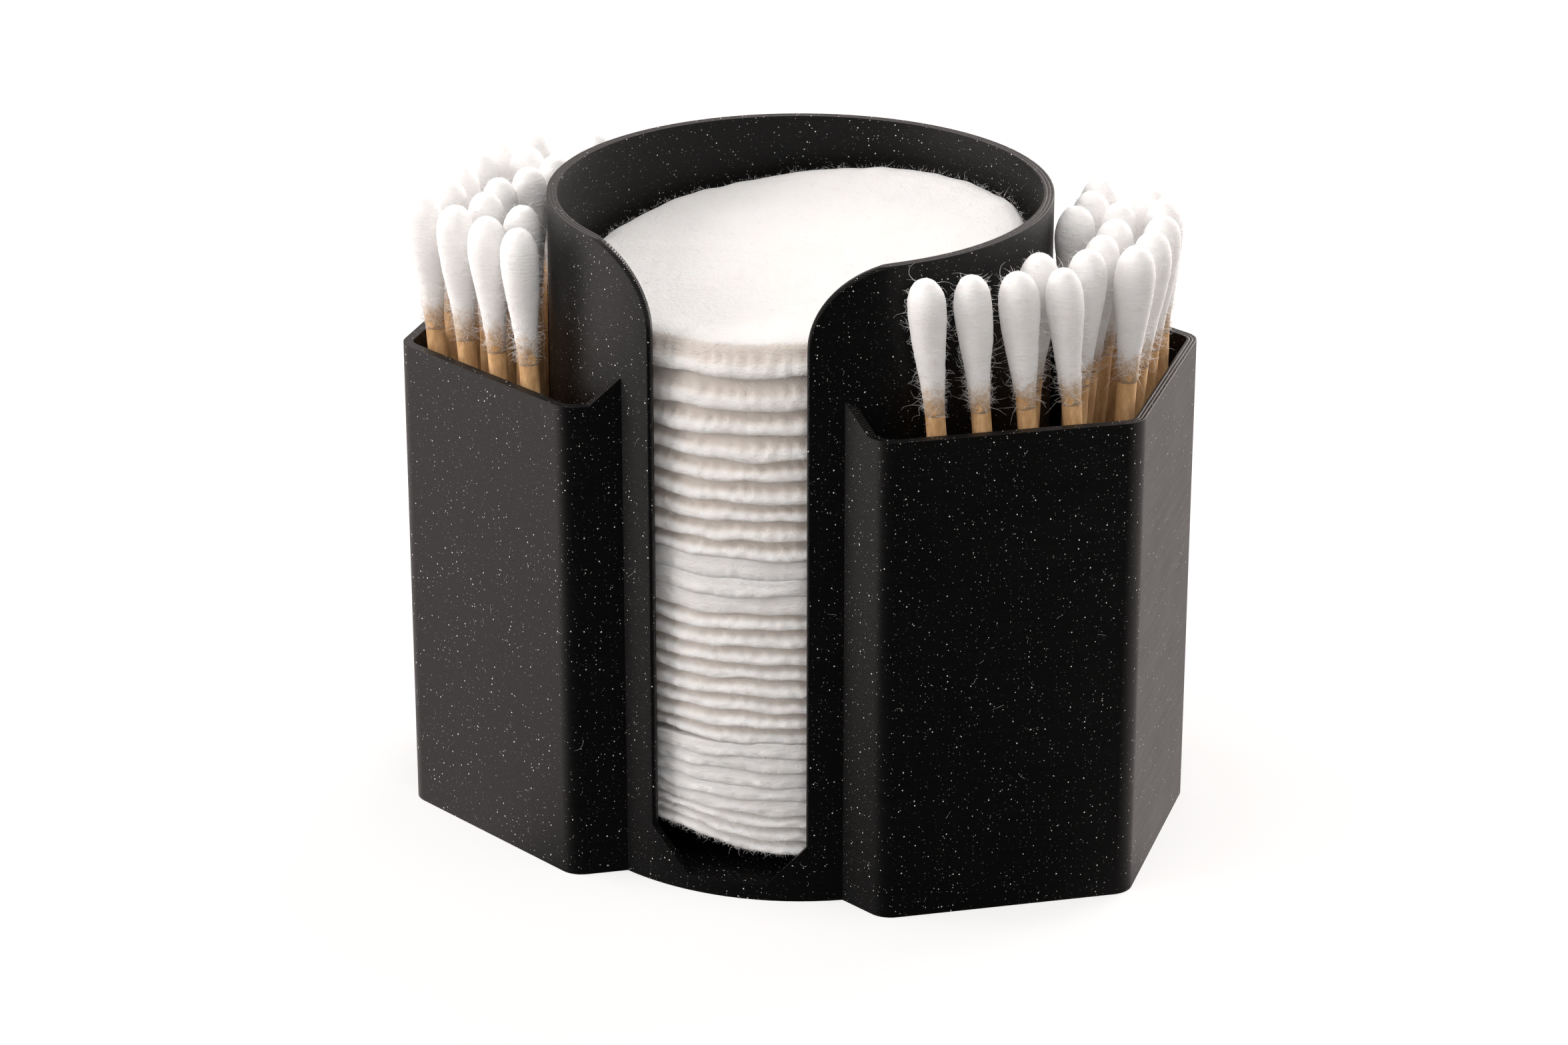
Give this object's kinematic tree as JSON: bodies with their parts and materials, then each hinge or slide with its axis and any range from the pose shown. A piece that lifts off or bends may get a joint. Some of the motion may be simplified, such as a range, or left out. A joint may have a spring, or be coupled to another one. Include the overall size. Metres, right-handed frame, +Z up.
{
  "type": "cotton swab holder",
  "caption": "One-piece counter-top holder: an upright tube of cotton pads with a flared front slot, between two hexagonal cups of cotton swabs.",
  "frame": {"origin": "centre of the holder's underside, on the tube's axis", "axes": "+Z up along the tube, -Y towards the pad slot at the front, +X towards the right cup"},
  "size_m": [0.0908, 0.06, 0.079],
  "materials": {
    "black_plastic": "matte printed plastic with fine horizontal layers and sparse silver flecks",
    "cotton": "soft white cotton with loose fibres",
    "kraft_paper": "rolled brown paper, matte"
  },
  "bodies": {
    "holder": {"holder": "black_plastic"},
    "pad_stack": {"pad_05": "cotton", "pad_06": "cotton", "pad_07": "cotton", "pad_08": "cotton", "pad_09": "cotton", "pad_10": "cotton", "pad_11": "cotton", "pad_12": "cotton", "pad_13": "cotton", "pad_14": "cotton", "pad_15": "cotton", "pad_16": "cotton", "pad_17": "cotton", "pad_18": "cotton", "pad_19": "cotton", "pad_20": "cotton", "pad_21": "cotton", "pad_22": "cotton", "pad_23": "cotton", "pad_24": "cotton", "pad_25": "cotton", "pad_26": "cotton", "pad_27": "cotton", "pads_pressed": "cotton"},
    "top_pad": {"pad_top": "cotton"},
    "swab_right_01": {"swab_right_01": "cotton"},
    "swab_right_02": {"swab_right_02": "cotton"},
    "swab_right_03": {"swab_right_03": "cotton"},
    "swab_right_04": {"swab_right_04": "cotton"},
    "swab_right_05": {"swab_right_05": "cotton"},
    "swab_right_06": {"swab_right_06": "cotton"},
    "swab_right_07": {"swab_right_07": "cotton"},
    "swab_right_08": {"swab_right_08": "cotton"},
    "swab_right_09": {"swab_right_09": "cotton"},
    "swab_right_10": {"swab_right_10": "cotton"},
    "swab_right_11": {"swab_right_11": "cotton"},
    "swab_right_12": {"swab_right_12": "cotton"},
    "swab_right_13": {"swab_right_13": "cotton"},
    "swab_right_14": {"swab_right_14": "cotton"},
    "swab_right_15": {"swab_right_15": "cotton"},
    "swab_right_16": {"swab_right_16": "cotton"},
    "swab_right_17": {"swab_right_17": "cotton"},
    "swab_left_01": {"swab_left_01": "cotton"},
    "swab_left_02": {"swab_left_02": "cotton"},
    "swab_left_03": {"swab_left_03": "cotton"},
    "swab_left_04": {"swab_left_04": "cotton"},
    "swab_left_05": {"swab_left_05": "cotton"},
    "swab_left_06": {"swab_left_06": "cotton"},
    "swab_left_07": {"swab_left_07": "cotton"},
    "swab_left_08": {"swab_left_08": "cotton"},
    "swab_left_09": {"swab_left_09": "cotton"},
    "swab_left_10": {"swab_left_10": "cotton"},
    "swab_left_11": {"swab_left_11": "cotton"},
    "swab_left_12": {"swab_left_12": "cotton"},
    "swab_left_13": {"swab_left_13": "cotton"},
    "swab_left_14": {"swab_left_14": "cotton"},
    "swab_left_15": {"swab_left_15": "cotton"},
    "swab_left_16": {"swab_left_16": "cotton"},
    "swab_left_17": {"swab_left_17": "cotton"}
  },
  "joints": [
    {"name": "pad_stack_lift", "type": "slide", "parent": "holder", "child": "pad_stack", "axis": [0, 0, 1], "range_m": [0, 0.08]},
    {"name": "top_pad_lift", "type": "slide", "parent": "pad_stack", "child": "top_pad", "axis": [0, 0, 1], "range_m": [0, 0.02]},
    {"name": "swab_right_01_lift", "type": "slide", "parent": "holder", "child": "swab_right_01", "axis": [-0.0755, -0.0436, 0.9962], "range_m": [0, 0.062]},
    {"name": "swab_right_02_lift", "type": "slide", "parent": "holder", "child": "swab_right_02", "axis": [-0.0755, -0.0436, 0.9962], "range_m": [0, 0.062]},
    {"name": "swab_right_03_lift", "type": "slide", "parent": "holder", "child": "swab_right_03", "axis": [-0.0755, -0.0436, 0.9962], "range_m": [0, 0.062]},
    {"name": "swab_right_04_lift", "type": "slide", "parent": "holder", "child": "swab_right_04", "axis": [-0.0755, -0.0436, 0.9962], "range_m": [0, 0.062]},
    {"name": "swab_right_05_lift", "type": "slide", "parent": "holder", "child": "swab_right_05", "axis": [0.0378, 0.0218, 0.999], "range_m": [0, 0.062]},
    {"name": "swab_right_06_lift", "type": "slide", "parent": "holder", "child": "swab_right_06", "axis": [0.0378, 0.0218, 0.999], "range_m": [0, 0.062]},
    {"name": "swab_right_07_lift", "type": "slide", "parent": "holder", "child": "swab_right_07", "axis": [0.0378, 0.0218, 0.999], "range_m": [0, 0.062]},
    {"name": "swab_right_08_lift", "type": "slide", "parent": "holder", "child": "swab_right_08", "axis": [0.0755, 0.0436, 0.9962], "range_m": [0, 0.062]},
    {"name": "swab_right_09_lift", "type": "slide", "parent": "holder", "child": "swab_right_09", "axis": [0.0755, 0.0436, 0.9962], "range_m": [0, 0.062]},
    {"name": "swab_right_10_lift", "type": "slide", "parent": "holder", "child": "swab_right_10", "axis": [0.0679, 0.0392, 0.9969], "range_m": [0, 0.062]},
    {"name": "swab_right_11_lift", "type": "slide", "parent": "holder", "child": "swab_right_11", "axis": [0.0679, 0.0392, 0.9969], "range_m": [0, 0.062]},
    {"name": "swab_right_12_lift", "type": "slide", "parent": "holder", "child": "swab_right_12", "axis": [0, 0, 1], "range_m": [0, 0.062]},
    {"name": "swab_right_13_lift", "type": "slide", "parent": "holder", "child": "swab_right_13", "axis": [0, 0, 1], "range_m": [0, 0.062]},
    {"name": "swab_right_14_lift", "type": "slide", "parent": "holder", "child": "swab_right_14", "axis": [0, 0, 1], "range_m": [0, 0.062]},
    {"name": "swab_right_15_lift", "type": "slide", "parent": "holder", "child": "swab_right_15", "axis": [0.0227, 0.0131, 0.9997], "range_m": [0, 0.062]},
    {"name": "swab_right_16_lift", "type": "slide", "parent": "holder", "child": "swab_right_16", "axis": [0.0227, 0.0131, 0.9997], "range_m": [0, 0.062]},
    {"name": "swab_right_17_lift", "type": "slide", "parent": "holder", "child": "swab_right_17", "axis": [0.0453, 0.0262, 0.9986], "range_m": [0, 0.062]},
    {"name": "swab_left_01_lift", "type": "slide", "parent": "holder", "child": "swab_left_01", "axis": [-0.083, 0.0479, 0.9954], "range_m": [0, 0.062]},
    {"name": "swab_left_02_lift", "type": "slide", "parent": "holder", "child": "swab_left_02", "axis": [-0.083, 0.0479, 0.9954], "range_m": [0, 0.062]},
    {"name": "swab_left_03_lift", "type": "slide", "parent": "holder", "child": "swab_left_03", "axis": [-0.083, 0.0479, 0.9954], "range_m": [0, 0.062]},
    {"name": "swab_left_04_lift", "type": "slide", "parent": "holder", "child": "swab_left_04", "axis": [-0.083, 0.0479, 0.9954], "range_m": [0, 0.062]},
    {"name": "swab_left_05_lift", "type": "slide", "parent": "holder", "child": "swab_left_05", "axis": [-0.0076, 0.0044, 1], "range_m": [0, 0.062]},
    {"name": "swab_left_06_lift", "type": "slide", "parent": "holder", "child": "swab_left_06", "axis": [-0.0076, 0.0044, 1], "range_m": [0, 0.062]},
    {"name": "swab_left_07_lift", "type": "slide", "parent": "holder", "child": "swab_left_07", "axis": [-0.0076, 0.0044, 1], "range_m": [0, 0.062]},
    {"name": "swab_left_08_lift", "type": "slide", "parent": "holder", "child": "swab_left_08", "axis": [-0.0604, 0.0349, 0.9976], "range_m": [0, 0.062]},
    {"name": "swab_left_09_lift", "type": "slide", "parent": "holder", "child": "swab_left_09", "axis": [-0.0604, 0.0349, 0.9976], "range_m": [0, 0.062]},
    {"name": "swab_left_10_lift", "type": "slide", "parent": "holder", "child": "swab_left_10", "axis": [-0.0227, 0.0131, 0.9997], "range_m": [0, 0.062]},
    {"name": "swab_left_11_lift", "type": "slide", "parent": "holder", "child": "swab_left_11", "axis": [-0.0227, 0.0131, 0.9997], "range_m": [0, 0.062]},
    {"name": "swab_left_12_lift", "type": "slide", "parent": "holder", "child": "swab_left_12", "axis": [-0.0076, 0.0044, 1], "range_m": [0, 0.062]},
    {"name": "swab_left_13_lift", "type": "slide", "parent": "holder", "child": "swab_left_13", "axis": [-0.0076, 0.0044, 1], "range_m": [0, 0.062]},
    {"name": "swab_left_14_lift", "type": "slide", "parent": "holder", "child": "swab_left_14", "axis": [-0.0076, 0.0044, 1], "range_m": [0, 0.062]},
    {"name": "swab_left_15_lift", "type": "slide", "parent": "holder", "child": "swab_left_15", "axis": [0, 0, 1], "range_m": [0, 0.062]},
    {"name": "swab_left_16_lift", "type": "slide", "parent": "holder", "child": "swab_left_16", "axis": [0, 0, 1], "range_m": [0, 0.062]},
    {"name": "swab_left_17_lift", "type": "slide", "parent": "holder", "child": "swab_left_17", "axis": [-0.0302, 0.0174, 0.9994], "range_m": [0, 0.062]}
  ]
}
